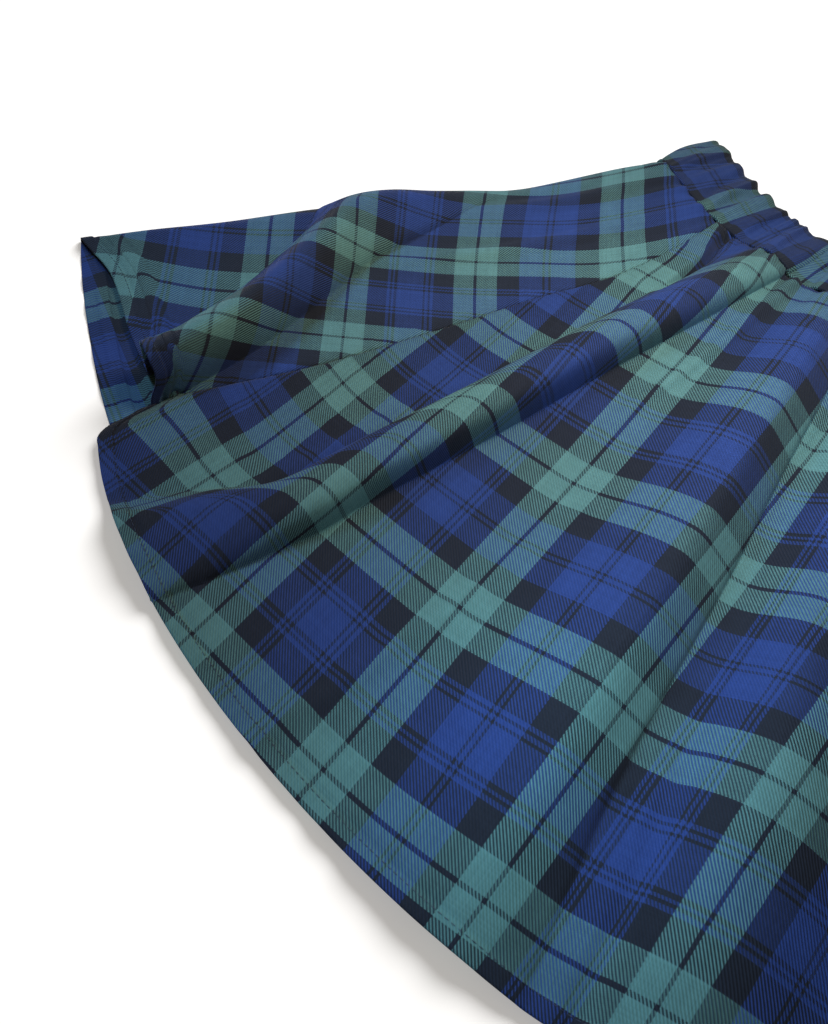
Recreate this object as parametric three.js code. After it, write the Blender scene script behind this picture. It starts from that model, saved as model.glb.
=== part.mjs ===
// A flared tartan skirt with a ruched elastic waistband, lying flat on its back.
// Three like gores of a half-circle skirt: a front gore on top, and two back gores that wrap the
// side folds and meet at the centre back underneath. Millimetres, +Z up, +Y towards the waist.
// Places are polar, about the point where the side folds would meet: an angle in degrees, 0 down
// the middle and positive to the right, and a fraction "down" from 0 at the waist seam to 1 at the hem.

import * as THREE from 'three';

// ---- driving dimensions -------------------------------------------------------------------
const CHECK = 75; // one green line to the next, half of the tartan's repeat
const WALL = 1.5; // cloth
const SEAM_GAP = 0.3; // between two sewn pieces
const WAIST_RADIUS = 3.35 * CHECK; // waist seam, from the fan's centre
const FLOOR_GAP = 1.2; // least air between the top and bottom layers
const BAND_WIDTH = 38;
const GATHERS = 44; // ruched waves round the whole band
const BAND_EDGE_HEIGHT = 15; // middle of the band's top layer at its free edge
// Rows across the band, from its free edge (up 1) to the waist seam (up 0): half the thickness of the
// casing with its elastic, and how deep the ruching waves it.
const BAND_ROWS = [
  { up: 1, half: 1.4, ruching: 0.6 },
  { up: 0.88, half: 2.4, ruching: 1.1 },
  { up: 0.5, half: 2.5, ruching: 1.3 },
  { up: 0.12, half: 2.4, ruching: 1.1 },
  { up: 0, half: 1.5, ruching: 0.6 },
];
const FAN_CENTRE = { x: 0, y: 388 }; // puts the origin under the middle of the skirt

// ---- mesh fineness ------------------------------------------------------------------------
const ROWS = 17; // steps from waist to hem
const FRONT_STEPS = 76; // steps across the front gore
const SEAM_STEPS = 10; // steps across a back gore on top, from the side seam to its flute's crest
const FOLD_STEPS = 24; // and on to the side fold
const CROWDING = 1.25; // how those shorten towards the fold, where the cloth rolls
const UNDER_STEPS = 10; // steps across a back gore's part underneath
const BAND_STEPS_A_WAVE = 5;
const TRACE_STEPS = 240; // fine steps that arc lengths are taken from

// ---- outline, as [down, angle] and [angle, radius in checks] ----------------------------------
const HEM_HALF_ANGLE = 39.5;
const LEFT_EDGE = [[0, -38.5], [0.25, -36.6], [0.37, -37.3], [0.48, -37.8], [0.6, -38.3], [0.75, -38.5],
  [0.9, -39.2], [1, -39.5]];
const RIGHT_EDGE = [[0, 35.5], [0.3, 36.5], [0.6, 38.0], [1, 39.5]];
const LEFT_SEAM = [[0, -22.8], [0.1, -20.9], [0.23, -20.3], [0.36, -21.4], [0.51, -22.3], [0.7, -23.3],
  [0.85, -24.8], [0.93, -25.6], [1, -25.7]];
const RIGHT_SEAM = [[0, 21.5], [0.5, 22.5], [1, 26]];
// The line between the two runs of steps: it follows the crest of each flute from where that is steep.
const LEFT_CREST = [[0, -28], [0.5, -29.6], [0.7, -29.8], [0.8, -27.8], [0.9, -26.7], [1, -26.7]];
const RIGHT_CREST = [[0, 26], [0.5, 28.5], [1, 30]];
const TOP_HEM = [[-39.5, 7.7], [-36, 7.5], [-31, 7.45], [-26.6, 7.42], [-25.9, 7.44], [-25.2, 7.8],
  [-24.2, 7.88], [-21, 7.96], [-15, 8.03], [-5, 8.1], [3, 8.16], [10, 8.15], [20, 8.02], [27, 7.85],
  [33, 7.62], [39.5, 7.7]];
const UNDER_HEM = [[-39.5, 7.7], [-32, 7.72], [-26, 7.76], [0, 7.9], [26, 7.76], [39.5, 7.7]];

// Height of the top layer's middle over the floor, away from any fold, as [down, height].
const LOFT = [[0, 20], [0.1, 23], [0.3, 24], [0.5, 20], [0.7, 17], [0.85, 11], [0.95, 5.5], [1, 3.4]];

// ---- folds of the top layer ------------------------------------------------------------------
// centre: [down, angle]; height: [down, mm]; left and right: [down, width in degrees] of each flank.
const FOLDS = [
  {
    name: 'flute at the left hem',
    centre: [[0.3, -38], [0.45, -36.4], [0.58, -34], [0.68, -30.8], [0.8, -27.8], [0.9, -26.7], [1, -26.7]],
    height: [[0.3, 0], [0.42, 8], [0.5, 15], [0.7, 22], [0.85, 26], [1, 28]],
    left: [[0.3, 4], [0.6, 4.6], [0.75, 3.4], [0.9, 2.4], [1, 2.2]],
    right: [[0.3, 4], [0.5, 4], [0.7, 2.4], [1, 1.4]],
  },
  {
    name: 'sharp ridge',
    centre: [[0, -14], [0.2, -13.6], [0.5, -14.1], [0.72, -14.7], [0.8, -15.1], [0.88, -16.8], [1, -19.8]],
    height: [[0, 6], [0.12, 11], [0.35, 16], [0.6, 17], [0.8, 16], [0.9, 12], [1, 6]],
    left: [[0, 4], [0.4, 3], [0.8, 2.4], [0.9, 2.2], [1, 1.4]],
    right: [[0, 2.8], [0.3, 1.8], [0.6, 1.5], [0.8, 1.6], [0.88, 2.6], [1, 4.3]],
  },
  {
    name: 'broad ridge',
    centre: [[0, -4.5], [0.15, -2.2], [0.3, -0.9], [0.5, 0.3], [0.8, 1.2], [1, 2.2]],
    height: [[0, 5], [0.15, 12], [0.4, 17], [0.7, 15], [0.9, 9], [1, 4]],
    left: [[0, 5], [0.5, 8.5], [1, 8]],
    right: [[0, 3.2], [0.4, 2.8], [1, 2.8]],
  },
  {
    name: 'ridge right of the middle',
    centre: [[0, 5], [0.5, 8.3], [1, 9.5]],
    height: [[0, 8], [0.3, 15], [0.6, 17], [0.85, 12], [1, 5]],
    left: [[0, 4.5], [1, 5]],
    right: [[0, 5], [1, 6]],
  },
  {
    name: 'ridge by the right seam',
    centre: [[0, 14], [0.5, 16], [1, 19]],
    height: [[0, 6], [0.4, 14], [0.7, 16], [0.9, 8], [1, 3]],
    left: [[0, 3], [1, 3]],
    right: [[0, 3], [1, 4]],
  },
  {
    name: 'flute at the right hem',
    centre: [[0.3, 33.5], [0.6, 31], [1, 28.5]],
    height: [[0.3, 0], [0.5, 8], [0.8, 18], [1, 20]],
    left: [[0.3, 3], [1, 3]],
    right: [[0.3, 4], [1, 8]],
  },
];

// ---- helpers --------------------------------------------------------------------------------

// A smooth curve through rows of [x, y], level beyond the first and last row.
function along(rows, x) {
  const last = rows.length - 1;
  if (x <= rows[0][0]) return rows[0][1];
  if (x >= rows[last][0]) return rows[last][1];
  let k = 0;
  while (x >= rows[k + 1][0]) k += 1;
  const slope = (i) => {
    const a = rows[Math.max(i - 1, 0)];
    const b = rows[Math.min(i + 1, last)];
    return (b[1] - a[1]) / (b[0] - a[0]);
  };
  const span = rows[k + 1][0] - rows[k][0];
  const u = (x - rows[k][0]) / span;
  const u2 = u * u;
  const u3 = u2 * u;
  return (2 * u3 - 3 * u2 + 1) * rows[k][1] + (u3 - 2 * u2 + u) * span * slope(k)
    + (3 * u2 - 2 * u3) * rows[k + 1][1] + (u3 - u2) * span * slope(k + 1);
}

const clamp = THREE.MathUtils.clamp;
const radians = THREE.MathUtils.degToRad;

// 1 at 0, falling smoothly to 0 at 1 and beyond.
function lobe(x) {
  return 0.5 + 0.5 * Math.cos(Math.PI * Math.min(Math.abs(x), 1));
}

function fanPoint(angle, radius, z) {
  const a = radians(angle);
  return new THREE.Vector3(FAN_CENTRE.x + radius * Math.sin(a), FAN_CENTRE.y - radius * Math.cos(a), z);
}

// The hem tables run from fold edge to fold edge, so an angle is stretched to them first.
function radiusAt(hem, angle, down) {
  const edge = angle < 0 ? -along(LEFT_EDGE, down) : along(RIGHT_EDGE, down);
  const hemRadius = along(hem, (angle * HEM_HALF_ANGLE) / edge) * CHECK;
  return WAIST_RADIUS + (hemRadius - WAIST_RADIUS) * down;
}

// ---- the cloth's middle surface ---------------------------------------------------------------

const UNDER_Z = WALL / 2; // middle of the bottom layer
const LEAST_Z = UNDER_Z + WALL + FLOOR_GAP; // least height of the top layer's middle

function topHeight(angle, down) {
  let z = along(LOFT, down);
  for (const fold of FOLDS) {
    const off = angle - along(fold.centre, down);
    const width = along(off < 0 ? fold.left : fold.right, down);
    z += along(fold.height, down) * lobe(off / width);
  }
  return Math.max(z, LEAST_Z);
}

// The top layer, which rolls down to the bottom one at each side fold as a quarter of an ellipse.
function topPoint(angle, down) {
  const radius = radiusAt(TOP_HEM, angle, down);
  const height = topHeight(angle, down);
  const fromEdge = radians(Math.min(angle - along(LEFT_EDGE, down), along(RIGHT_EDGE, down) - angle)) * radius;
  const roll = clamp(0.9 * height, 4, 40);
  const inward = clamp(fromEdge / roll, 0, 1);
  const rise = Math.sqrt(1 - (1 - inward) ** 2);
  return fanPoint(angle, radius, UNDER_Z + (height - UNDER_Z) * rise);
}

function underPoint(angle, down) {
  return fanPoint(angle, radiusAt(UNDER_HEM, angle, down), UNDER_Z);
}

// Cuts a finely traced line into steps by length, from "start" to "end" mm off its ends. They are
// equal where "crowding" is 1, and shorten towards the end where it is more.
function stepsAlong(trace, steps, start, end, crowding = 1) {
  const length = [0];
  for (let i = 1; i < trace.length; i += 1) length.push(length[i - 1] + trace[i].distanceTo(trace[i - 1]));
  const total = length[length.length - 1] - start - end;
  const points = [];
  let k = 0;
  for (let i = 0; i <= steps; i += 1) {
    const want = start + total * (1 - (1 - i / steps) ** crowding);
    while (k < trace.length - 2 && length[k + 1] < want) k += 1;
    const share = (want - length[k]) / (length[k + 1] - length[k]);
    points.push(new THREE.Vector3().lerpVectors(trace[k], trace[k + 1], share));
  }
  return points;
}

// The line across the top layer at one distance down, traced more finely at its ends, where it may roll.
function topTrace(from, to, down) {
  const trace = [];
  for (let i = 0; i <= TRACE_STEPS; i += 1) {
    const share = 0.5 - 0.5 * Math.cos((Math.PI * i) / TRACE_STEPS);
    trace.push(topPoint(from + (to - from) * share, down));
  }
  return trace;
}

// The direction across the top layer at a seam, shared by the pieces on both sides of it.
function seamAcross(angle, down) {
  const reach = 0.3;
  return new THREE.Vector3().subVectors(topPoint(angle + reach, down), topPoint(angle - reach, down));
}

// ---- solids -----------------------------------------------------------------------------------

// A closed wall about a grid of middle points. Rows run to the right on top and back underneath, and
// each is offset in its own upright plane, so that pieces that share an edge stay apart. "half" gives
// half the thickness at a row and column. A row may name its direction at its first and last point.
// A looped grid's last column joins its first.
function wallGeometry(rows, half, looped = false) {
  const wide = rows[0].length;
  const outer = [];
  const inner = [];
  rows.forEach((row, r) => {
    for (let i = 0; i < wide; i += 1) {
      const before = looped ? row[(i + wide - 1) % wide] : row[Math.max(i - 1, 0)];
      const after = looped ? row[(i + 1) % wide] : row[Math.min(i + 1, wide - 1)];
      let across = new THREE.Vector3().subVectors(after, before);
      if (i === 0 && row.first) across = row.first;
      if (i === wide - 1 && row.last) across = row.last;
      const normal = new THREE.Vector3().crossVectors(fanDirection(row[i]), across).normalize();
      outer.push(row[i].clone().addScaledVector(normal, half(r, i)));
      inner.push(row[i].clone().addScaledVector(normal, -half(r, i)));
    }
  });
  for (const point of [...outer, ...inner]) point.z = Math.max(point.z, 0);
  return closedGrid(outer, inner, rows.length, wide, looped);
}

// The level direction from the fan's centre out to a point.
function fanDirection(point) {
  return new THREE.Vector3(point.x - FAN_CENTRE.x, point.y - FAN_CENTRE.y, 0).normalize();
}

// Two like grids of points, joined along their rims into one closed shell.
function closedGrid(outer, inner, high, wide, looped) {
  const count = high * wide;
  const spans = looped ? wide : wide - 1;
  const corner = (row, column) => row * wide + (column % wide);
  const faces = [];
  const quad = (a, b, c, d) => faces.push(a, b, c, a, c, d);
  for (let r = 0; r < high - 1; r += 1) {
    for (let c = 0; c < spans; c += 1) {
      const [a, b, d, e] = [corner(r, c), corner(r, c + 1), corner(r + 1, c + 1), corner(r + 1, c)];
      quad(a, e, d, b);
      quad(count + a, count + b, count + d, count + e);
    }
  }
  for (let c = 0; c < spans; c += 1) {
    quad(corner(0, c), corner(0, c + 1), count + corner(0, c + 1), count + corner(0, c));
    const end = high - 1;
    quad(corner(end, c + 1), corner(end, c), count + corner(end, c), count + corner(end, c + 1));
  }
  for (let r = 0; r < high - 1 && !looped; r += 1) {
    quad(corner(r + 1, 0), corner(r, 0), count + corner(r, 0), count + corner(r + 1, 0));
    const end = wide - 1;
    quad(corner(r, end), corner(r + 1, end), count + corner(r + 1, end), count + corner(r, end));
  }
  const geometry = new THREE.BufferGeometry();
  const corners = [...outer, ...inner].flatMap((point) => point.toArray());
  geometry.setAttribute('position', new THREE.Float32BufferAttribute(corners, 3));
  geometry.setIndex(faces);
  geometry.computeVertexNormals();
  return geometry;
}

const downSteps = Array.from({ length: ROWS + 1 }, (_, i) => i / ROWS);

function frontGore() {
  const rows = downSteps.map((down) => {
    const left = along(LEFT_SEAM, down);
    const right = along(RIGHT_SEAM, down);
    const row = stepsAlong(topTrace(left, right, down), FRONT_STEPS, SEAM_GAP / 2, SEAM_GAP / 2);
    row.first = seamAcross(left, down);
    row.last = seamAcross(right, down);
    return row;
  });
  return wallGeometry(rows, () => WALL / 2);
}

// side -1 is the left back gore, 1 the right one: from the side seam over the fold to the centre back.
function backGore(side) {
  const seam = side < 0 ? LEFT_SEAM : RIGHT_SEAM;
  const crest = side < 0 ? LEFT_CREST : RIGHT_CREST;
  const edge = side < 0 ? LEFT_EDGE : RIGHT_EDGE;
  const rows = downSteps.map((down) => {
    const fold = along(edge, down);
    const seamAngle = along(seam, down);
    const crestAngle = along(crest, down);
    const row = stepsAlong(topTrace(seamAngle, crestAngle, down), SEAM_STEPS, SEAM_GAP / 2, 0);
    row.push(...stepsAlong(topTrace(crestAngle, fold, down), FOLD_STEPS, 0, 0, CROWDING).slice(1, -1));
    const backGap = (side * SEAM_GAP) / 2 / radians(radiusAt(UNDER_HEM, 0, down));
    for (let i = 0; i <= UNDER_STEPS; i += 1) {
      row.push(underPoint(fold + ((backGap - fold) * i) / UNDER_STEPS, down));
    }
    if (side < 0) {
      row.reverse();
      row.last = seamAcross(seamAngle, down);
    } else {
      row.first = seamAcross(seamAngle, down);
    }
    return row;
  });
  return wallGeometry(rows, () => WALL / 2);
}

// ---- waistband ----------------------------------------------------------------------------------

function bandRadius(up) {
  return WAIST_RADIUS - SEAM_GAP - BAND_WIDTH * up;
}

// Where the band's middle runs on top. At the waist seam it has the skirt's own height, and it settles
// towards its free edge.
function bandTopPoint(angle, row) {
  const seamHeight = topHeight(angle, 0);
  const roll = (topPoint(angle, 0).z - UNDER_Z) / (seamHeight - UNDER_Z);
  const level = THREE.MathUtils.lerp(seamHeight, BAND_EDGE_HEIGHT, row.up);
  return fanPoint(angle, bandRadius(row.up), row.half + (level - row.half) * roll);
}

// One loop round the band: left to right on top, and back underneath.
function bandLoop(row) {
  const left = along(LEFT_EDGE, 0);
  const right = along(RIGHT_EDGE, 0);
  const trace = [];
  for (let i = 0; i <= TRACE_STEPS; i += 1) {
    const share = 0.5 - 0.5 * Math.cos((Math.PI * i) / TRACE_STEPS);
    trace.push(bandTopPoint(left + (right - left) * share, row));
  }
  for (let i = 1; i <= TRACE_STEPS; i += 1) {
    trace.push(fanPoint(right + ((left - right) * i) / TRACE_STEPS, bandRadius(row.up), row.half));
  }
  const loop = stepsAlong(trace, GATHERS * BAND_STEPS_A_WAVE, 0, 0);
  loop.pop();
  return loop;
}

// The wave of the ruching at a step round the loop, uneven in spacing and in depth.
function gather(step) {
  const turn = (2 * Math.PI * step) / (GATHERS * BAND_STEPS_A_WAVE);
  const phase = GATHERS * turn + 0.9 * Math.sin(5 * turn) + 0.5 * Math.sin(11 * turn + 1);
  return (0.75 + 0.25 * Math.sin(7 * turn + 2)) * Math.sin(phase);
}

function waistband() {
  const half = (r, i) => BAND_ROWS[r].half + BAND_ROWS[r].ruching * gather(i);
  return wallGeometry(BAND_ROWS.map(bandLoop), half, true);
}

const skirt = new THREE.Group();

function addPiece(name, geometry, colour) {
  const cloth = new THREE.MeshStandardMaterial({ color: colour, roughness: 0.9, metalness: 0, flatShading: true });
  const mesh = new THREE.Mesh(geometry, cloth);
  mesh.name = name;
  skirt.add(mesh);
}

addPiece('front_panel', frontGore(), 0x2b3a72);
addPiece('back_left_panel', backGore(-1), 0x2f5a55);
addPiece('back_right_panel', backGore(1), 0x35506b);
addPiece('waistband', waistband(), 0x26305c);

export default skirt;
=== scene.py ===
# A flared tartan skirt with a ruched elastic waistband, lying flat on its back.
# The cloth is built in millimetres and turned to metres when a mesh is made. Places are polar, about
# the point where the side folds would meet: an angle in degrees, 0 down the middle and positive to the
# right, and a fraction "down" from 0 at the waist seam to 1 at the hem.

import math

import bpy
import numpy as np
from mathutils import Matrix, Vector


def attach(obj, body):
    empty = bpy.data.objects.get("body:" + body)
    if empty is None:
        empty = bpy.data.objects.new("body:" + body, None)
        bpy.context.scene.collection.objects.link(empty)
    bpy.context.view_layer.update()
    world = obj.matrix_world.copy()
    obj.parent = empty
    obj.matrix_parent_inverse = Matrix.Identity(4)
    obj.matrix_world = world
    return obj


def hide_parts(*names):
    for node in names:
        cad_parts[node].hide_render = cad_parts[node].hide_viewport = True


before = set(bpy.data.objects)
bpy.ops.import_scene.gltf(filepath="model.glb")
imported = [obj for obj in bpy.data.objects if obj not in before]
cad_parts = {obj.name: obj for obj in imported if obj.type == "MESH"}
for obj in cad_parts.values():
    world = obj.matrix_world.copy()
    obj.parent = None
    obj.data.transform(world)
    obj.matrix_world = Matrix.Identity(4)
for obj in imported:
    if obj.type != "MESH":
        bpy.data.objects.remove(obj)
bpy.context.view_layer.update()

# ---- sizes, in millimetres --------------------------------------------------------------------
CHECK = 75.0  # one green line to the next, half of the tartan's repeat
CLOTH = 1.0  # thickness of the shell that stands for the cloth
UNDER_Z = 0.5 * CLOTH  # middle of the bottom layer
LEAST_Z = 3.45  # least height of the top layer's middle
WAIST_RADIUS = 3.35 * CHECK  # waist seam, from the fan's centre
FULL_HEM = 8.1 * CHECK  # hem radius of the flat cut
SKIRT_LENGTH = FULL_HEM - WAIST_RADIUS
BAND_WIDTH = 38.0
BAND_EDGE_HEIGHT = 15.0  # middle of the band's top layer at its free edge
FAN_CENTRE = (0.0, 388.0)  # where the side folds would meet
HEM_TURNING = 8.0  # width of the turned hem
HEM_STITCHING = 6.5  # how far above the edge it is sewn
CUT_CENTRE = (0.73 * CHECK, 6.82 * CHECK)  # the fan's centre in the cloth's own plane, from a crossing
CUT_WAIST = 3.6 * CHECK  # waist radius in that plane
BACK_SHIFT = 0.33 * CHECK  # how far the back gores' middle lies from a green line
HALF_GORE = math.radians(29.75)  # half of the angle that each of the three gores fills in the cut
SIDE_ROLL = 0.9  # reach of the roll at a side fold, as a share of the height there
LEAST_ROLL = 4.0
MOST_ROLL = 40.0
FOLD_REACH = 0.125  # share of the bottom layer by a side fold in which its creases run out

# ---- outline, as [down, angle] and [angle, radius in checks] --------------------------------------
HEM_HALF_ANGLE = 39.5
LEFT_EDGE = [[0, -38.5], [0.25, -36.6], [0.37, -37.3], [0.48, -37.8], [0.6, -38.3], [0.75, -38.5],
             [0.9, -39.2], [1, -39.5]]
RIGHT_EDGE = [[0, 35.5], [0.3, 36.5], [0.6, 38.0], [1, 39.5]]
LEFT_SEAM = [[0, -22.8], [0.1, -20.9], [0.23, -20.3], [0.36, -21.4], [0.51, -22.3], [0.7, -23.3],
             [0.85, -24.8], [0.93, -25.6], [1, -25.7]]
RIGHT_SEAM = [[0, 21.5], [0.5, 22.5], [1, 26]]
LEFT_CREST = [[0, -28], [0.5, -29.6], [0.7, -29.8], [0.8, -27.8], [0.9, -26.7], [1, -26.7]]
RIGHT_CREST = [[0, 26], [0.5, 28.5], [1, 30]]
TOP_HEM = [[-39.5, 7.7], [-36, 7.5], [-31, 7.45], [-26.6, 7.42], [-25.9, 7.44], [-25.2, 7.8],
           [-24.2, 7.88], [-21, 7.96], [-15, 8.03], [-5, 8.1], [3, 8.16], [10, 8.15], [20, 8.02],
           [27, 7.85], [33, 7.62], [39.5, 7.7]]
# Further up the cloth runs more smoothly from the front's hem to the part that is drawn in.
TOP_BODY = [[-39.5, 7.7], [-36, 7.5], [-31, 7.45], [-28, 7.5], [-24, 7.74], [-20, 7.95], [-15, 8.03],
            [-5, 8.1], [3, 8.16], [10, 8.15], [20, 8.02], [27, 7.85], [33, 7.62], [39.5, 7.7]]
HEM_STARTS = 0.86  # how far down the hem's own outline begins to show
UNDER_HEM = [[-39.5, 7.7], [-32, 7.72], [-26, 7.76], [0, 7.9], [26, 7.76], [39.5, 7.7]]

# Height of the top layer's middle over the floor, away from any fold, as [down, height].
LOFT = [[0, 20], [0.1, 23], [0.3, 24], [0.5, 20], [0.7, 17], [0.85, 11], [0.95, 5.5], [1, 3.4]]

# ---- folds of the top layer ---------------------------------------------------------------------
# centre: [down, angle]; height: [down, mm]; left and right: [down, width in degrees] of each flank.
# fullness: 0 where a flank runs out softly and 1 where a round shoulder ends in a crease, left and right.
# bulge: [down, mm] by which a flank swells sideways over its own foot, left and right.
FOLDS = {
    "flute at the left hem": {
        "centre": [[0.3, -38], [0.45, -36.4], [0.58, -34], [0.68, -30.8], [0.8, -27.8], [0.9, -26.7],
                   [1, -26.7]],
        "height": [[0.3, 0], [0.42, 8], [0.5, 15], [0.7, 22], [0.85, 26], [1, 28]],
        "left": [[0.3, 4], [0.6, 4], [0.75, 2.6], [0.9, 1.3], [1, 1.1]],
        "right": [[0.3, 4], [0.5, 4], [0.7, 2.2], [0.85, 1.2], [1, 0.9]],
        "fullness": [0.3, 0.5],
        "bulge": [[[0.6, 0], [0.8, 6], [1, 8]], [[0.6, 0], [0.8, 2.5], [1, 3]]],
    },
    "sharp ridge": {
        "centre": [[0, -14], [0.2, -13.6], [0.5, -14.1], [0.72, -14.7], [0.8, -15.1], [0.88, -16.8],
                   [1, -19.8]],
        "height": [[0, 6], [0.12, 11], [0.35, 16], [0.6, 17], [0.8, 16], [0.9, 12], [1, 6]],
        "left": [[0, 4], [0.4, 2.6], [0.8, 2.1], [0.9, 2.1], [1, 1.2]],
        "right": [[0, 2.8], [0.3, 1.6], [0.6, 1.2], [0.8, 1.3], [0.88, 2.4], [1, 4.3]],
        "fullness": [0.2, 0.9],
        "bulge": [[[0.1, 0], [0.4, 4.5], [0.8, 4.5], [0.95, 0]],
                  [[0.2, 0], [0.5, 1.5], [0.8, 1.5], [0.92, 0]]],
    },
    "broad ridge": {
        "centre": [[0, -4.5], [0.15, -2.2], [0.3, -0.9], [0.5, 0.3], [0.8, 1.2], [1, 2.2]],
        "height": [[0, 5], [0.15, 12], [0.4, 17], [0.7, 15], [0.9, 9], [1, 4]],
        "left": [[0, 5], [0.5, 8.5], [1, 8]],
        "right": [[0, 3.2], [0.4, 2.7], [1, 2.7]],
        "fullness": [0, 0.35],
    },
    "ridge right of the middle": {
        "centre": [[0, 5], [0.5, 8.3], [1, 9.5]],
        "height": [[0, 8], [0.3, 15], [0.6, 17], [0.85, 12], [1, 5]],
        "left": [[0, 4.5], [1, 5]],
        "right": [[0, 5], [1, 6]],
    },
    "ridge by the right seam": {
        "centre": [[0, 14], [0.5, 16], [1, 19]],
        "height": [[0, 6], [0.4, 14], [0.7, 16], [0.9, 8], [1, 3]],
        "left": [[0, 3], [1, 3]],
        "right": [[0, 3], [1, 4]],
    },
    "flute at the right hem": {
        "centre": [[0.3, 33.5], [0.6, 31], [1, 28.5]],
        "height": [[0.3, 0], [0.5, 8], [0.8, 18], [1, 20]],
        "left": [[0.3, 3], [1, 3]],
        "right": [[0.3, 4], [1, 8]],
    },
}

# Small creases: a path of [down, angle], height in mm (a trough is negative) and half width in mm.
CREASE_FADE = 0.7  # how quickly they run out at the ends of their path, less being more quickly
TOP_CREASES = [
    ([[0.02, -33], [0.2, -31], [0.42, -33]], 2.5, 9),
    ([[0.05, -26], [0.3, -26.5], [0.6, -30.5]], 2.0, 8),
    ([[0.0, -20.5], [0.08, -17.8], [0.2, -16]], -5.0, 5),
    ([[0.0, -9.5], [0.2, -8.6], [0.45, -8.8]], 2.2, 6),
    ([[0.0, 1.5], [0.12, 2.2], [0.3, 3]], -2.5, 6),
    ([[0.0, 10], [0.2, 11], [0.5, 12]], 2.0, 7),
    ([[0.0, 18.5], [0.15, 18.6], [0.3, 19.5]], -2.2, 5),
    ([[0.05, 27], [0.3, 28.5], [0.55, 31]], 2.4, 9),
    ([[0.55, -17.5], [0.8, -17.8], [0.95, -18.4]], 1.2, 6),
    ([[0.5, -5.5], [0.75, -6.5], [1.0, -8]], 1.6, 9),
    ([[0.6, 5.0], [0.8, 6.0], [1.0, 6.5]], -1.6, 7),
    ([[0.5, 13.0], [0.75, 14], [1.0, 14.5]], 1.6, 8),
]
UNDER_CREASES = [
    ([[0.0, -28], [0.25, -25], [0.6, -24]], 4.0, 9),
    ([[0.05, -12], [0.35, -14], [0.8, -13]], 5.0, 11),
    ([[0.0, 6], [0.3, 4.5], [0.7, 6]], 4.0, 10),
    ([[0.1, 20], [0.45, 22], [0.9, 21]], 5.0, 10),
    ([[0.4, -4], [0.7, -5.5], [1.0, -4.5]], 3.0, 8),
    ([[0.5, 31], [0.75, 29], [1.0, 30]], 3.5, 8),
]


# Where places on the tartan lie, as [angle, down, across, up], the last two in checks, most of them
# crossings of green lines.
# The cloth is eased smoothly from one to the next, and slips where a fold's left flank hides it.
FRONT_CROSSINGS = {
    "slips under": "sharp ridge",
    "left of it": [
        [-19.6, 0.87, -2, 0], [-21.3, 0.67, -2, 1], [-15.0, 0.39, -1, 2],
    ],
    "right of it": [
        [-6.1, 0.73, 0, 0], [-7.3, 0.51, 0, 1], [-5.3, 0.96, 0, -1], [-13.8, 0.76, -1, 0],
        [-13.2, 0.98, -1, -1], [2.4, 0.71, 1, 0], [9.8, 0.71, 2, 0], [2.4, 0.95, 1, -1],
        [2.6, 0.49, 1, 1], [-9.2, 0.28, 0, 2], [3.0, 0.27, 1, 2], [-12.1, 0.06, 0, 3],
        [8.3, 0.94, 2, -1],
    ],
}
BACK_LEFT_CROSSINGS = {
    "slips under": "flute at the left hem",
    "left of it": [
        [-36.3, 0.99, 1, -1], [-32.6, 0.88, 1, -0.45],
    ],
    "right of it": [
        [-31.0, 0.61, 1, 1], [-26.8, 0.43, 1, 2], [-21.8, 0.20, 1, 3], [-26.8, 0.83, 2, 0.12],
        [-26.0, 0.70, 2, 0.85],
    ],
}
EASE_REACH = 1.2  # how far a crossing draws the cloth round it, in checks
EASE_GIVE = 0.05  # how much the cloth may miss the places, which keeps it smooth


# ---- curves through tables -----------------------------------------------------------------------

def along(rows, x):
    """A smooth curve through rows of [x, y], level beyond the first and last row."""
    table = np.asarray(rows, float)
    xs = table[:, 0]
    ys = table[:, 1]
    x = np.clip(x, xs[0], xs[-1])
    slopes = np.empty(len(xs))
    slopes[1:-1] = (ys[2:] - ys[:-2]) / (xs[2:] - xs[:-2])
    slopes[0] = (ys[1] - ys[0]) / (xs[1] - xs[0])
    slopes[-1] = (ys[-1] - ys[-2]) / (xs[-1] - xs[-2])
    row = np.clip(np.searchsorted(xs, x, side="right") - 1, 0, len(xs) - 2)
    span = xs[row + 1] - xs[row]
    u = (x - xs[row]) / span
    rise = (3 * u ** 2 - 2 * u ** 3) * (ys[row + 1] - ys[row])
    leave = (u ** 3 - 2 * u ** 2 + u) * span * slopes[row]
    arrive = (u ** 3 - u ** 2) * span * slopes[row + 1]
    return ys[row] + rise + leave + arrive


def smooth(x):
    """0 below 0, 1 above 1, and a smooth step between."""
    return 0.5 - 0.5 * np.cos(np.pi * np.clip(x, 0, 1))


def lobe(x, fullness=0.0):
    """1 at 0, falling to 0 at 1 and beyond: smoothly, or with a round shoulder where fullness is 1."""
    x = np.clip(np.abs(x), 0, 1)
    soft = 1 - smooth(x)
    return soft + (np.sqrt(1 - x ** 4) - soft) * fullness


def bell(x):
    """1 at 0, falling smoothly to almost nothing at 2."""
    return np.exp(-x ** 2)


def fan_point(angle, radius, z):
    """The point at an angle, a distance from the fan's centre and a height."""
    turn = np.radians(angle)
    x = FAN_CENTRE[0] + radius * np.sin(turn)
    y = FAN_CENTRE[1] - radius * np.cos(turn)
    return np.stack(np.broadcast_arrays(x, y, z), -1)


def from_centre(points):
    return np.hypot(points[:, 0] - FAN_CENTRE[0], points[:, 1] - FAN_CENTRE[1])


def edge_angle(angle, down):
    """How far from the middle the side fold lies on the same side as an angle."""
    return np.where(angle < 0, -along(LEFT_EDGE, down), along(RIGHT_EDGE, down))


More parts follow.
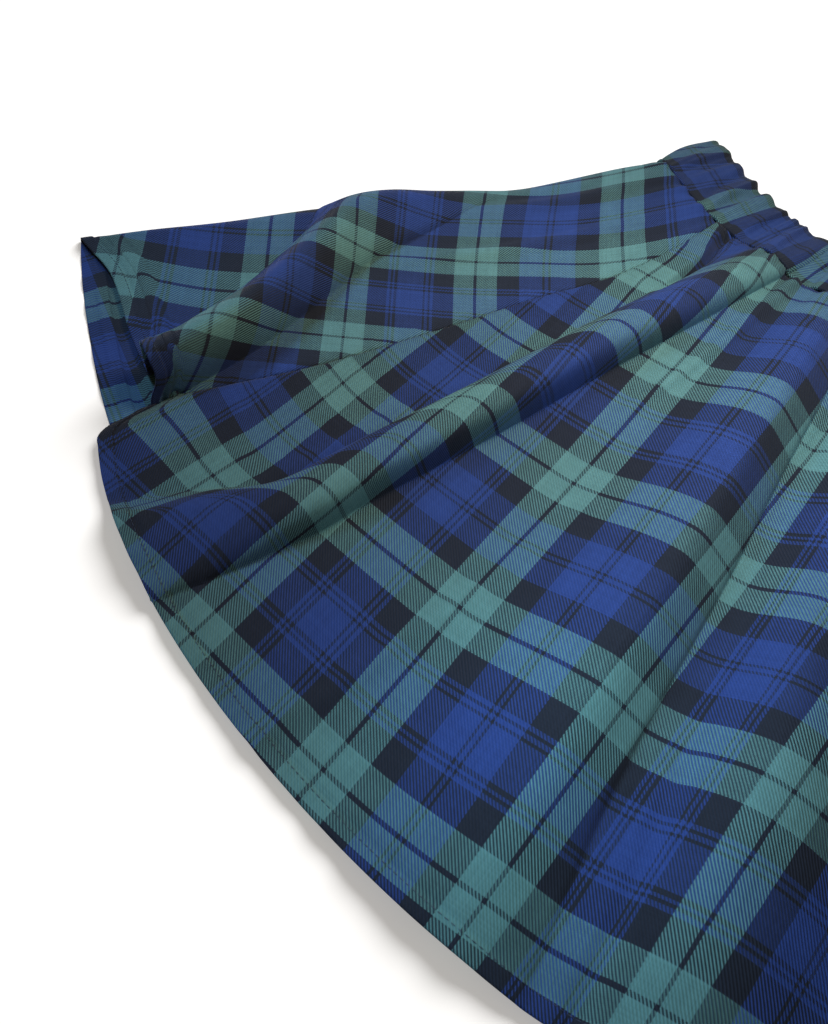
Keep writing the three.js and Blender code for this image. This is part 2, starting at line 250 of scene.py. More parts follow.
def radius_at(hem, angle, down):
    """Distance from the fan's centre. Hem tables run from fold edge to fold edge."""
    hem_radius = along(hem, angle * HEM_HALF_ANGLE / edge_angle(angle, down)) * CHECK
    return WAIST_RADIUS + (hem_radius - WAIST_RADIUS) * down


def top_radius(angle, down):
    """The same for the top layer, where the hem's own outline shows only near the hem."""
    body = radius_at(TOP_BODY, angle, down)
    share = smooth((down - HEM_STARTS) / (1 - HEM_STARTS))
    return body + (radius_at(TOP_HEM, angle, down) - body) * share


# ---- the cloth's middle surface ------------------------------------------------------------------

def crease_height(creases, angle, down):
    """The sum of small creases, which run out at the ends of their path, but not at the waist or hem."""
    total = np.zeros(np.broadcast(angle, down).shape)
    for path, height, half_width in creases:
        start = path[0][0]
        end = path[-1][0]
        off = np.radians(angle - along(path, down)) * (WAIST_RADIUS + SKIRT_LENGTH * down)
        place = (down - start) / (end - start)
        inside = (place > 0) & (place < 1)
        fade = np.where(inside, np.sin(np.pi * np.clip(place, 0, 1)) ** CREASE_FADE, 0)
        fade = np.where((start == 0) & (place < 0.5) & inside, 1, fade)
        fade = np.where((end == 1) & (place > 0.5), 1, fade)
        total = total + height * fade * lobe(off / half_width)
    return total


def off_crest(fold, angle, down):
    """How far a place is from a fold's crest, in widths of that flank, negative on the left."""
    off = angle - along(fold["centre"], down)
    return off / np.where(off < 0, along(fold["left"], down), along(fold["right"], down))


def top_height(angle, down):
    """Height of the top layer's middle: the loft, the folds and the small creases, summed."""
    z = along(LOFT, down)
    for fold in FOLDS.values():
        off = off_crest(fold, angle, down)
        full = np.where(off < 0, *fold.get("fullness", [0, 0]))
        z = z + along(fold["height"], down) * lobe(off, full)
    z = z + crease_height(TOP_CREASES, angle, down)
    return np.maximum(z, LEAST_Z)


def swelling(angle, down):
    """How far the flanks of full folds swell sideways, in mm."""
    total = np.zeros(np.broadcast(angle, down).shape)
    for fold in FOLDS.values():
        if "bulge" in fold:
            off = off_crest(fold, angle, down)
            left, right = fold["bulge"]
            total = total + np.where(off < 0, -along(left, down), along(right, down)) * np.sin(
                np.pi * np.clip(np.abs(off), 0, 1))
    return total


def top_point(angle, down):
    """The top layer, which rolls down to the bottom one at each side fold as a quarter of an ellipse."""
    radius = top_radius(angle, down)
    height = top_height(angle, down)
    from_left = angle - along(LEFT_EDGE, down)
    from_right = along(RIGHT_EDGE, down) - angle
    from_edge = np.radians(np.minimum(from_left, from_right)) * radius
    roll = np.clip(SIDE_ROLL * height, LEAST_ROLL, MOST_ROLL)
    inward = np.clip(from_edge / roll, 0, 1)
    rise = np.sqrt(1 - (1 - inward) ** 2)
    swollen = angle + np.degrees(swelling(angle, down) / radius)
    return fan_point(swollen, radius, UNDER_Z + (height - UNDER_Z) * rise)


def under_point(angle, down):
    """The bottom layer, which lies on the floor but for a few soft creases."""
    settle = np.clip((1 - np.abs(angle) / edge_angle(angle, down)) / FOLD_REACH, 0, 1)
    z = UNDER_Z + crease_height(UNDER_CREASES, angle, down) * settle
    return fan_point(angle, radius_at(UNDER_HEM, angle, down), z)


def lengths_along(points):
    """Distance along a line of points from its first one."""
    steps = np.linalg.norm(np.diff(points, axis=0), axis=1)
    return np.concatenate([[0], np.cumsum(steps)])


def lengths_across(points):
    """The same, without what runs towards the fan's centre or away from it."""
    steps = np.linalg.norm(np.diff(points, axis=0), axis=1)
    out = np.diff(from_centre(points))
    across = np.sqrt(np.maximum(steps ** 2 - out ** 2, 0))
    return np.concatenate([[0], np.cumsum(across)])


def sample(points, lengths, wanted):
    """The points at some wanted lengths along a line."""
    return np.stack([np.interp(wanted, lengths, points[:, axis]) for axis in range(3)], -1)


def eased(steps):
    """Shares from 0 to 1, closer together at both ends."""
    return smooth(np.linspace(0, 1, steps))


# Rows from waist to hem, closer together at the gathers of the waist seam and at the turned hem.
GATHERS_END = 12.0  # mm below the waist seam
HEM_ROWS_START = 338.0
DOWNS = np.concatenate([
    np.linspace(0, GATHERS_END, 9)[:-1],
    np.linspace(GATHERS_END, HEM_ROWS_START, 108)[:-1],
    np.linspace(HEM_ROWS_START, SKIRT_LENGTH, 17),
]) / SKIRT_LENGTH
FRONT_STEPS = 336  # across the front gore
SEAM_STEPS = 44  # from a side seam to the crest of the flute beside it
FOLD_STEPS = 92  # from there to the side fold
UNDER_STEPS = 84  # from there to the centre back
TOWARDS_FOLD = 1.4  # how much closer together the columns get towards the side fold
TRACE_STEPS = 1400  # along each row, to measure the cloth


def turn_of(distance, down):
    """The angle in radians that a distance across the cloth covers in the flat cut."""
    return distance / (WAIST_RADIUS + SKIRT_LENGTH * down)


def cut_place(turn, down, shift):
    """Where a point of a gore lies on the tartan, in checks from a crossing of green lines."""
    radius = CUT_WAIST + (FULL_HEM - CUT_WAIST) * down
    across = shift + radius * np.sin(turn)
    up = CUT_CENTRE[1] - radius * np.cos(turn)
    return np.stack([across, up], -1) / CHECK


def laid_turn(angle, down):
    """How far round the cut a place on the top layer lies from the front's middle line, in radians."""
    trace = top_point(angle * eased(TRACE_STEPS), down)
    return math.copysign(turn_of(lengths_across(trace)[-1], down), angle)


def level_of(radius):
    """How far down the cut a distance from the fan's centre lies. The back gores go by this, because
    part of their hem is drawn in."""
    return (radius - WAIST_RADIUS) / SKIRT_LENGTH


def front_cut(angle, down):
    """Where a place of the front gore lies on the tartan, if the cloth isn't drawn."""
    return cut_place(laid_turn(angle, down), down, CUT_CENTRE[0])


def back_left_cut(angle, down):
    """The same for the top of the back left gore, whose middle lies beyond the side seam."""
    from_seam = laid_turn(angle, down) - laid_turn(along(LEFT_SEAM, down), down)
    return cut_place(from_seam + HALF_GORE, level_of(top_radius(angle, down)), -BACK_SHIFT)


def drawn(rows, places, cut_of):
    """How the cloth is drawn, in checks, so that the crossings in the rows lie where they are listed."""
    table = np.array(rows, float)
    cut = np.array([cut_of(angle, down) for angle, down in table[:, :2]])
    need = table[:, 2:] - cut
    mean = need.mean(axis=0)

    def nearness(a, b):
        apart = np.linalg.norm(a[..., None, :] - b, axis=-1)
        return np.exp(-0.5 * (apart / EASE_REACH) ** 2)

    weights = np.linalg.solve(nearness(cut, cut) + EASE_GIVE * np.eye(len(cut)), need - mean)
    return mean + nearness(places, cut) @ weights


def eased_places(crossings, places, angles, cut_of):
    """Places on the tartan, with the cloth drawn on both sides of the fold that it slips under."""
    left = drawn(crossings["left of it"], places, cut_of)
    right = drawn(crossings["right of it"], places, cut_of)
    share = smooth(off_crest(FOLDS[crossings["slips under"]], angles, DOWNS[:, None]) + 1)
    return places + left + (right - left) * share[..., None]


def front_grid():
    """Middle points, places on the tartan, and distance from the nearer side seam."""
    points = []
    places = []
    seams = []
    spots = []
    for down in DOWNS:
        left = along(LEFT_SEAM, down)
        right = along(RIGHT_SEAM, down)
        angles = left + (right - left) * eased(TRACE_STEPS)
        trace = top_point(angles, down)
        lengths = lengths_along(trace)
        wanted = np.linspace(0, lengths[-1], FRONT_STEPS + 1)
        across = lengths_across(trace)
        middle = np.interp(0, angles, across)
        turn = turn_of(np.interp(wanted, lengths, across) - middle, down)
        points.append(sample(trace, lengths, wanted))
        places.append(cut_place(turn, down, CUT_CENTRE[0]))
        seams.append(np.minimum(wanted, lengths[-1] - wanted))
        spots.append(np.interp(wanted, lengths, angles))
    places = eased_places(FRONT_CROSSINGS, np.array(places), np.array(spots), front_cut)
    return np.array(points), places, np.array(seams)


def back_grid(side):
    """The same for a back gore, from its side seam over the fold to the centre back."""
    seam = LEFT_SEAM if side < 0 else RIGHT_SEAM
    crest = LEFT_CREST if side < 0 else RIGHT_CREST
    edge = LEFT_EDGE if side < 0 else RIGHT_EDGE
    points = []
    places = []
    seams = []
    spots = []
    for down in DOWNS:
        start = along(seam, down)
        fold = along(edge, down)
        angles = start + (fold - start) * eased(TRACE_STEPS)
        top = top_point(angles, down)
        under = under_point(fold * (1 - np.linspace(0, 1, TRACE_STEPS)), down)
        trace = np.concatenate([top, under[1:]])
        lengths = lengths_along(trace)
        at_fold = lengths[TRACE_STEPS - 1]
        share = (along(crest, down) - start) / (fold - start)
        at_crest = np.interp(share, (angles - start) / (fold - start), lengths[:TRACE_STEPS])
        to_fold = 1 - (1 - np.linspace(0, 1, FOLD_STEPS + 1)) ** TOWARDS_FOLD
        wanted = np.concatenate([
            np.linspace(0, at_crest, SEAM_STEPS + 1)[:-1],
            at_crest + (at_fold - at_crest) * to_fold[:-1],
            np.linspace(at_fold, lengths[-1], UNDER_STEPS + 1),
        ])
        across = np.interp(wanted, lengths, lengths_across(trace))
        turn = side * (turn_of(across, down) - HALF_GORE)
        row = sample(trace, lengths, wanted)
        points.append(row)
        places.append(cut_place(turn, level_of(from_centre(row)), -BACK_SHIFT))
        seams.append(np.minimum(wanted, lengths[-1] - wanted))
        spots.append(np.interp(wanted, lengths[:TRACE_STEPS], angles))
    grids = [np.array(points), np.array(places), np.array(seams)]
    if side < 0:
        grids[1] = eased_places(BACK_LEFT_CROSSINGS, grids[1], np.array(spots), back_left_cut)
        grids = [grid[:, ::-1] for grid in grids]
    return grids


def normals_of(points):
    """Unit normals of a grid whose rows run down and whose columns run to the right on top."""
    normal = np.cross(np.gradient(points, axis=0), np.gradient(points, axis=1))
    return normal / np.linalg.norm(normal, axis=-1, keepdims=True)


# ---- meshes --------------------------------------------------------------------------------------

def shell(name, outer, inner, places, material, looped=False):
    """A closed shell from two like grids, with the place on the tartan as its UV map."""
    high, wide = outer.shape[:2]
    count = high * wide
    spans = wide if looped else wide - 1
    row = np.arange(high - 1)[:, None]
    column = np.arange(spans)[None, :]
    following = (column + 1) % wide
    a = row * wide + column
    b = row * wide + following
    d = (row + 1) * wide + following
    e = (row + 1) * wide + column
    faces = [np.stack([a, e, d, b], -1).reshape(-1, 4)]
    faces.append(np.stack([a, b, d, e], -1).reshape(-1, 4) + count)
    column = column[0]
    following = following[0]
    end = (high - 1) * wide
    faces.append(np.stack([column, following, count + following, count + column], -1))
    faces.append(np.stack([end + following, end + column, end + count + column,
                           end + count + following], -1))
    if not looped:
        left = row[:, 0] * wide
        right = left + wide - 1
        faces.append(np.stack([left + wide, left, count + left, count + left + wide], -1))
        faces.append(np.stack([right, right + wide, count + right + wide, count + right], -1))
    faces = np.concatenate(faces)
    corners = np.concatenate([outer.reshape(-1, 3), inner.reshape(-1, 3)]) / 1000
    corners[:, 2] = np.maximum(corners[:, 2], 0)
    mesh = bpy.data.meshes.new(name)
    mesh.from_pydata(corners.tolist(), [], faces.tolist())
    layer = mesh.uv_layers.new(name="tartan")
    both = np.concatenate([places.reshape(-1, 2), places.reshape(-1, 2)])
    layer.data.foreach_set("uv", both[faces.reshape(-1)].reshape(-1).astype(np.float32))
    mesh.polygons.foreach_set("use_smooth", np.ones(len(faces), bool))
    mesh.materials.append(material)
    mesh.update()
    piece = bpy.data.objects.new(name, mesh)
    bpy.context.scene.collection.objects.link(piece)
    return piece


# ---- materials -----------------------------------------------------------------------------------

def linear(hex_colour):
    """An sRGB hex colour as linear red, green, blue and alpha."""
    values = [int(hex_colour[i:i + 2], 16) / 255 for i in (1, 3, 5)]
    return [v / 12.92 if v <= 0.04045 else ((v + 0.055) / 1.055) ** 2.4 for v in values] + [1.0]


def add_node(tree, kind, sockets=None, out=0, **settings):
    """Adds a node and gives back one of its outputs. A socket takes a value or an output to link to."""
    node = tree.nodes.new(kind)
    for name, value in settings.items():
        setattr(node, name, value)
    for name, value in (sockets or {}).items():
        if isinstance(value, bpy.types.NodeSocket):
            tree.links.new(value, node.inputs[name])
        else:
            node.inputs[name].default_value = value
    return node.outputs[out] if node.outputs else node


YARNS = {"G": "#4d6f6a", "B": "#233565", "K": "#1a1d25"}
# Half of the tartan from one green block's middle to the next, as yarns in threads of the pattern.
HALF_WITH_MIDDLE_LINES = [("K", 1), ("G", 16), ("K", 16), ("B", 16), ("K", 2), ("B", 2), ("K", 2), ("B", 16),
                          ("K", 16), ("G", 16), ("K", 1)]
HALF_WITH_EDGE_LINES = [("K", 1), ("G", 16), ("K", 16), ("B", 2), ("K", 2), ("B", 2), ("K", 2), ("B", 22),
                        ("K", 2), ("B", 2), ("K", 2), ("B", 2), ("K", 16), ("G", 16), ("K", 1)]
TWILL_LINES = 48  # diagonal lines a check: 1.6 mm, four threads of about 0.4 mm
BLEED = 0.14  # share of the lower yarn's colour that shows at a crossing, as seen from a step away
YARN_SHADES = 0.13  # how much a yarn differs in shade from the next
MOTTLE = 0.3  # how much the cloth's shade wanders
FURROW_PAINTED_SHADE = 0.5  # painted shade: how much darker the twill's furrows are painted than its ribs
DARKEST = 0.62


def sett_ramp(tree, place):
    """The yarn's colour at a place along warp or weft, given in checks."""
    half = add_node(tree, "ShaderNodeMath", {0: place, 1: 0.5}, operation="MULTIPLY")
    turn = add_node(tree, "ShaderNodeMath", {0: half}, operation="FRACT")
    colour = add_node(tree, "ShaderNodeValToRGB", {"Fac": turn}, out="Color")
    ramp = colour.node.color_ramp
    ramp.interpolation = "CONSTANT"
    stripes = HALF_WITH_MIDDLE_LINES + HALF_WITH_EDGE_LINES
    total = sum(width for _, width in stripes)
    position = 0
    ramp.elements.remove(ramp.elements[1])
    for index, (yarn, width) in enumerate(stripes):
        element = ramp.elements[0] if index == 0 else ramp.elements.new(position / total)
        element.position = position / total
        element.color = linear(YARNS[yarn])
        position += width
    return colour


def tartan_twill(name):
    """Wool blend skirting in a 2/2 twill: matte, with a short fuzz, and diagonal lines that show where
    warp and weft differ in colour. Its furrows get painted shade and its ribs painted light."""
    material = bpy.data.materials.new(name)
    material.use_nodes = True
    tree = material.node_tree
    tree.nodes.clear()
    place = add_node(tree, "ShaderNodeUVMap", uv_map="tartan")
    across = add_node(tree, "ShaderNodeSeparateXYZ", {"Vector": place}, out="X")
    up = across.node.outputs["Y"]
    # Whole threads, and which of the two systems lies on top of each crossing.
    threads = 4.0 * TWILL_LINES
    warp_place = add_node(tree, "ShaderNodeMath", {0: across, 1: threads}, operation="MULTIPLY")
    weft_place = add_node(tree, "ShaderNodeMath", {0: up, 1: threads}, operation="MULTIPLY")
    warp_thread = add_node(tree, "ShaderNodeMath", {0: warp_place}, operation="FLOOR")
    weft_thread = add_node(tree, "ShaderNodeMath", {0: weft_place}, operation="FLOOR")
    both = add_node(tree, "ShaderNodeMath", {0: warp_thread, 1: weft_thread}, operation="ADD")
    quarters = add_node(tree, "ShaderNodeMath", {0: both, 1: 0.25}, operation="MULTIPLY")
    step = add_node(tree, "ShaderNodeMath", {0: quarters}, operation="FRACT")
    warp_on_top = add_node(tree, "ShaderNodeMath", {0: step, 1: 0.49}, operation="LESS_THAN")
    warp_share = add_node(tree, "ShaderNodeMath", {0: warp_on_top, 1: 1 - 2 * BLEED, 2: BLEED},
                          operation="MULTIPLY_ADD")
    warp = sett_ramp(tree, across)
    weft = sett_ramp(tree, up)
    yarn = add_node(tree, "ShaderNodeMix", {"Factor": warp_share, "A": weft, "B": warp}, out="Result",
                    data_type="RGBA")
    # The twill's fine diagonal relief, which also sets the painted shade of its furrows and the painted light
    # on its ribs.
    sum_place = add_node(tree, "ShaderNodeMath", {0: across, 1: up}, operation="ADD")
    lines = add_node(tree, "ShaderNodeMath", {0: sum_place, 1: float(TWILL_LINES)}, operation="MULTIPLY")
    relief_and_painted_shade = add_node(tree, "ShaderNodeMath", {0: lines, 1: 0.5}, operation="PINGPONG")
    bump = add_node(tree, "ShaderNodeBump", {"Height": relief_and_painted_shade, "Strength": 0.9, "Distance": 0.0005})
    # The shade of each yarn and of each patch of cloth, and painted shade in the twill's furrows against
    # painted light on its ribs.
    warp_shade = add_node(tree, "ShaderNodeTexWhiteNoise", {"W": warp_thread}, noise_dimensions="1D")
    weft_shade = add_node(tree, "ShaderNodeTexWhiteNoise", {"W": weft_thread}, noise_dimensions="1D")
    mottle = add_node(tree, "ShaderNodeTexNoise", {"Vector": place, "Scale": 9.0, "Detail": 3.0})
    shade = add_node(tree, "ShaderNodeMath", {0: warp_shade, 1: weft_shade}, operation="ADD")
    shade = add_node(tree, "ShaderNodeMath", {0: shade, 1: YARN_SHADES, 2: DARKEST},
                     operation="MULTIPLY_ADD")
    shade = add_node(tree, "ShaderNodeMath", {0: mottle, 1: MOTTLE, 2: shade}, operation="MULTIPLY_ADD")
    # Painted shade and light: the twill's furrows are made darker and its ribs lighter.
    shade = add_node(tree, "ShaderNodeMath", {0: relief_and_painted_shade, 1: FURROW_PAINTED_SHADE, 2: shade}, operation="MULTIPLY_ADD")
    toned = add_node(tree, "ShaderNodeHueSaturation", {"Color": yarn, "Value": shade})
    cloth = add_node(tree, "ShaderNodeBsdfPrincipled", {
        "Base Color": toned, "Roughness": 0.8, "Normal": bump, "Specular IOR Level": 0.15,
        "Sheen Weight": 0.04, "Sheen Roughness": 0.4,
    })
    add_node(tree, "ShaderNodeOutputMaterial", {"Surface": cloth})
    return material


def plain_floor(name):
    """Matte white paper, lit from below as well, like a light table."""
    material = bpy.data.materials.new(name)
    material.use_nodes = True
    tree = material.node_tree
    tree.nodes.clear()
    paper = add_node(tree, "ShaderNodeBsdfPrincipled", {
        "Base Color": linear("#f4f4f4"), "Roughness": 0.9, "Emission Color": linear("#ffffff"),
        "Emission Strength": 0.35,
    })
    add_node(tree, "ShaderNodeOutputMaterial", {"Surface": paper})
    return material


tartan = tartan_twill("tartan twill")

# ---- the gores -----------------------------------------------------------------------------------
SEAM_DITCH = 0.7  # depth of a side seam, in mm as all that follows
SEAM_DITCH_REACH = 1.8
PUCKER = 0.35  # height of the ripples beside a side seam
PUCKER_LENGTH = 11.0
PUCKER_OFFSET = 4.0  # how far from the seam they are highest
PUCKER_REACH = 5.477
HEM_STEP = 0.45  # how far the turned hem stands out
HEM_STEP_WIDTH = 1.5
HEM_LINE = 0.35  # depth of the line just above it
HEM_LINE_OFFSET = 0.5
HEM_RIPPLE = 0.5
HEM_RIPPLE_LENGTH = 31.0
HEM_RIPPLE_REACH = 12.0
GATHER = 1.1  # height of the gathers below the waist seam
GATHER_ANGLE = 3.2  # degrees from one to the next
GATHER_REACH = 16.0
WAIST_DITCH = 0.6  # depth of the waist seam
WAIST_DITCH_REACH = 2.5
STITCH_REST = 0.1  # how far above the cloth the middle of a stitch lies


def waves(x, seed):
    """Uneven ripples between -1 and 1, with crests about one unit apart."""
    slow = np.sin(2 * np.pi * (x * 0.23 + seed))
    return 0.6 * np.sin(2 * np.pi * (x + 0.25 * slow + seed)) + 0.4 * np.sin(2 * np.pi * (1.7 * x + 3 * seed))


def gore(name, grids, seed):
    """A gore's shell, and the line on top of it along which the hem is sewn."""
    points, places, seams = grids
    normal = normals_of(points)
    to_hem = (1 - DOWNS)[:, None] * SKIRT_LENGTH
    from_waist = DOWNS[:, None] * SKIRT_LENGTH
    turn = np.arctan2(points[..., 0] - FAN_CENTRE[0], FAN_CENTRE[1] - points[..., 1])
    # The side seams are ditches with a slight pucker, and the hem is a turning that ends in a line.
    pucker = PUCKER * waves(from_waist / PUCKER_LENGTH, seed)
    lift = pucker * bell((seams - PUCKER_OFFSET) / PUCKER_REACH)
    lift = lift - SEAM_DITCH * bell(seams / SEAM_DITCH_REACH)
    lift = lift + HEM_STEP * np.clip((HEM_TURNING - to_hem) / HEM_STEP_WIDTH, 0, 1)
    lift = lift - HEM_LINE * bell(to_hem - HEM_TURNING - HEM_LINE_OFFSET)
    lift = lift + HEM_RIPPLE * waves(seams / HEM_RIPPLE_LENGTH, seed) * bell(to_hem / HEM_RIPPLE_REACH)
    # Small gathers run down from the waist seam, which is itself a ditch.
    gathers = GATHER * waves(np.degrees(turn) / GATHER_ANGLE, seed)
    lift = lift + gathers * np.exp(-from_waist / GATHER_REACH)
    lift = lift - WAIST_DITCH * bell(from_waist / WAIST_DITCH_REACH)
    lift = lift[..., None]
    outer = points + normal * (0.5 * CLOTH + lift)
    inner = points + normal * (lift - 0.5 * CLOTH)
    row = np.argmin(np.abs(to_hem[:, 0] - HEM_STITCHING))
    faces_up = normal[row, :, 2] > 0.1
    hem_line = outer[row, faces_up] + normal[row, faces_up] * STITCH_REST
    return shell(name, outer, inner, places, tartan), hem_line


front, front_hem = gore("front", front_grid(), 0.13)
back_left, back_left_hem = gore("back_left", back_grid(-1), 0.37)
back_right, back_right_hem = gore("back_right", back_grid(1), 0.71)

# ---- the waistband -------------------------------------------------------------------------------
BAND_STEPS = 880
GATHERS = 46  # waves of the ruching, all round
SCALLOP = 1.1  # how far they draw the free edge up and down
BAND_FULLNESS = 1.17  # length of its cloth for each length of the ruched band
BAND_GREENS = [[-38.1, -1], [-24.9, 0], [-9.3, 1]]  # [angle, check] of the green lines that cross it
BAND_LINE = 0.76  # place of the waist seam on the band's tartan, in checks
BAND_BOW = 3.0  # how much further the free edge reaches, because the casing bows out
BAND_LEFT_EDGE = [[0, -38.7], [0.5, -40.4], [1, -41.8]]  # [share of the width, angle] of its left fold
# Its cloth in section: up the outside from the seam, over the free edge and down the inside. Each row
# gives the distance up as a share of the width, and the side, 1 outside and -1 inside.
SECTION = [(up, 1.0) for up in (0, 0.03, 0.07, 0.13, 0.2, 0.28, 0.37, 0.46, 0.55, 0.64, 0.72, 0.8, 0.87)]
SECTION += [(0.92, 1.0), (0.955, 0.9), (0.982, 0.66), (0.996, 0.32), (1.0, 0.0)]
SECTION += [(0.996, -0.32), (0.982, -0.66), (0.955, -0.9)]
SECTION += [(up, -1.0) for up in (0.92, 0.87, 0.8, 0.7, 0.58, 0.46, 0.34, 0.22, 0.12, 0.05, 0)]
CASING = [[0, -0.4], [0.1, 0.5], [0.4, 1.9], [0.85, 2.1], [1, 1.8]]  # half of the casing's thickness
RUCHING = [[0, 0.5], [0.1, 1.0], [0.45, 1.7], [0.8, 1.5], [1, 1.2]]  # depth of its waves
MEAN_DEPTH = 0.7  # of the waves, as a share of those depths
# What makes the ruching uneven, as [size, how many all round, shift in radians].
DEPTH_WAVES = [[0.3, 9, 2.0]]
SPACING_WAVES = [[1.6, 7, 0.0], [0.9, 17, 1.0]]
LEAN_WAVES = [[1.8, 4, 1.0]]  # these lean about a line part of the way up
LEAN_LINE = 0.4
EDGE_LEAN_WAVES = [[1.4, 13, 0.0]]  # and these from the seam
LESSER_WAVES = [[0.3, 0.5, 3.0], [0.18, 2.5, 4.0]]  # [size, how many for each main wave, lean]


def ring(up):
    """Even steps round the band: left to right on top, and back underneath, with the angle of each."""
    left = along(BAND_LEFT_EDGE, up)
    right = along(RIGHT_EDGE, 0)
    half = along(CASING, up) + 0.5 * CLOTH
    radius = WAIST_RADIUS - (BAND_WIDTH + BAND_BOW * np.sin(np.pi * up / 2)) * up
    angles = left + (right - left) * eased(TRACE_STEPS)
    seam_height = top_height(angles, 0.0)
    from_edge = np.radians(np.minimum(angles - left, right - angles)) * radius
    roll = np.sqrt(1 - (1 - np.clip(from_edge / (SIDE_ROLL * seam_height), 0, 1)) ** 2)
    level = seam_height + (BAND_EDGE_HEIGHT - seam_height) * up
    top = fan_point(angles, radius, half + (level - half) * roll)
    back = right + (left - right) * np.linspace(0, 1, TRACE_STEPS)
    under = fan_point(back, radius, half)
    trace = np.concatenate([top, under[1:]])
    lengths = lengths_along(trace)
    wanted = np.linspace(0, lengths[-1], BAND_STEPS + 1)[:-1]
    angle = np.interp(wanted, lengths, np.concatenate([angles, back[1:]]))
    # The casing is gathered unevenly between the green lines, and evenly beyond them.
    greens = np.array(BAND_GREENS, float)
    at_greens = np.interp(greens[:, 0], angles, lengths[:TRACE_STEPS])
    check = np.interp(wanted, at_greens, greens[:, 1])
    beyond = wanted - np.clip(wanted, at_greens[0], at_greens[-1])
    return sample(trace, lengths, wanted), check + beyond * BAND_FULLNESS / CHECK, angle


def waves_round(rows, turn):
    """The sum of waves round the band, from rows of [size, how many all round, shift]."""
    return sum(size * np.sin(count * turn + shift) for size, count, shift in rows)


def waistband():
    """The casing, whose waves differ in depth and spacing round the band and lean from seam to edge."""
    turn = np.arange(BAND_STEPS) / BAND_STEPS * 2 * np.pi
    depth = MEAN_DEPTH + waves_round(DEPTH_WAVES, turn)
    spacing = GATHERS * turn + waves_round(SPACING_WAVES, turn)
    lean = waves_round(LEAN_WAVES, turn)
    edge_lean = waves_round(EDGE_LEAN_WAVES, turn)
    outer = []
    inner = []
    places = []
    for up, side in SECTION:
        points, check, angle = ring(up)
        outward = fan_point(angle, 1.0, 0.0) - np.array([*FAN_CENTRE, 0.0])
        across = np.roll(points, -1, axis=0) - np.roll(points, 1, axis=0)
        normal = np.cross(outward, across)
        normal = normal / np.linalg.norm(normal, axis=1, keepdims=True)
        phase = spacing + lean * (up - LEAN_LINE) + edge_lean * up
        wave = depth * np.sin(phase)
        wave = wave + sum(size * np.sin(count * phase + slant * up) for size, count, slant in LESSER_WAVES)
        offset = side * along(CASING, up) + along(RUCHING, up) * wave
        scallop = SCALLOP * depth * np.sin(phase + 0.5) * up ** 3
        middle = points + normal * offset[:, None] - outward * scallop[:, None]
        # The section's own outward direction turns over with it at the free edge.
        facing = normal * side - outward * math.sqrt(1 - side * side)
        outer.append(middle + facing * 0.5 * CLOTH)
        inner.append(middle - facing * 0.5 * CLOTH)
        cloth_up = BAND_WIDTH * (up if side >= 0 else 2 - up)
        places.append(np.stack([check, np.full(BAND_STEPS, BAND_LINE - cloth_up / CHECK)], -1))
    outer = np.array(outer)[::-1]
    inner = np.array(inner)[::-1]
    places = np.array(places)[::-1]
    return shell("waistband_casing", outer, inner, places, tartan, looped=True)


band = waistband()

# ---- the hem's stitches ----------------------------------------------------------------------------
STITCH = 2.1  # length of a stitch
STITCH_PITCH = 3.0
THREAD_RADIUS = 0.17
STITCH_UNEVENNESS = 0.25  # by what share the thinnest stitch is thinner
STITCH_END = 0.4  # how thick a stitch is at its ends, as a share of its middle


def stitch_tree():
    """Geometry nodes that turn each edge of a mesh into one stitch, thinner at both ends."""
    tree = bpy.data.node_groups.new("stitches", "GeometryNodeTree")
    tree.interface.new_socket("Stitch ends", in_out="INPUT", socket_type="NodeSocketGeometry")
    tree.interface.new_socket("Thread radius", in_out="INPUT", socket_type="NodeSocketFloat")
    tree.interface.new_socket("Unevenness", in_out="INPUT", socket_type="NodeSocketFloat")
    tree.interface.new_socket("Thread", in_out="INPUT", socket_type="NodeSocketMaterial")
    tree.interface.new_socket("Stitches", in_out="OUTPUT", socket_type="NodeSocketGeometry")
    ends = add_node(tree, "NodeGroupInput", out="Stitch ends")
    given = ends.node.outputs
    line = add_node(tree, "GeometryNodeMeshToCurve", {"Mesh": ends})
    line = add_node(tree, "GeometryNodeResampleCurve", {"Curve": line, "Count": 5})
    share = add_node(tree, "GeometryNodeSplineParameter", out="Factor")
    arc = add_node(tree, "ShaderNodeMath", {0: share, 1: math.pi}, operation="MULTIPLY")
    arc = add_node(tree, "ShaderNodeMath", {0: arc}, operation="SINE")
    thick = add_node(tree, "ShaderNodeMath", {0: arc, 1: 1 - STITCH_END, 2: STITCH_END},
                     operation="MULTIPLY_ADD")
    thinnest = add_node(tree, "ShaderNodeMath", {0: 1.0, 1: given["Unevenness"]}, operation="SUBTRACT")
    chance = add_node(tree, "FunctionNodeRandomValue", {"Min": thinnest, "Max": 1.0, "Seed": 5}, out="Value")
    thick = add_node(tree, "ShaderNodeMath", {0: thick, 1: chance}, operation="MULTIPLY")
    profile = add_node(tree, "GeometryNodeCurvePrimitiveCircle", {
        "Resolution": 6, "Radius": given["Thread radius"],
    })
    thread = add_node(tree, "GeometryNodeCurveToMesh", {
        "Curve": line, "Profile Curve": profile, "Scale": thick, "Fill Caps": True,
    })
    thread = add_node(tree, "GeometryNodeRealizeInstances", {"Geometry": thread})
    thread = add_node(tree, "GeometryNodeSetMaterial", {"Geometry": thread, "Material": given["Thread"]})
    add_node(tree, "NodeGroupOutput", {"Stitches": thread})
    return tree


def stitches_along(line):
    """The two ends of each stitch along a line of points, in mm."""
    lengths = lengths_along(line)
    starts = np.arange(STITCH_PITCH, lengths[-1] - STITCH_PITCH, STITCH_PITCH)
    return np.stack([sample(line, lengths, starts), sample(line, lengths, starts + STITCH)], 1)


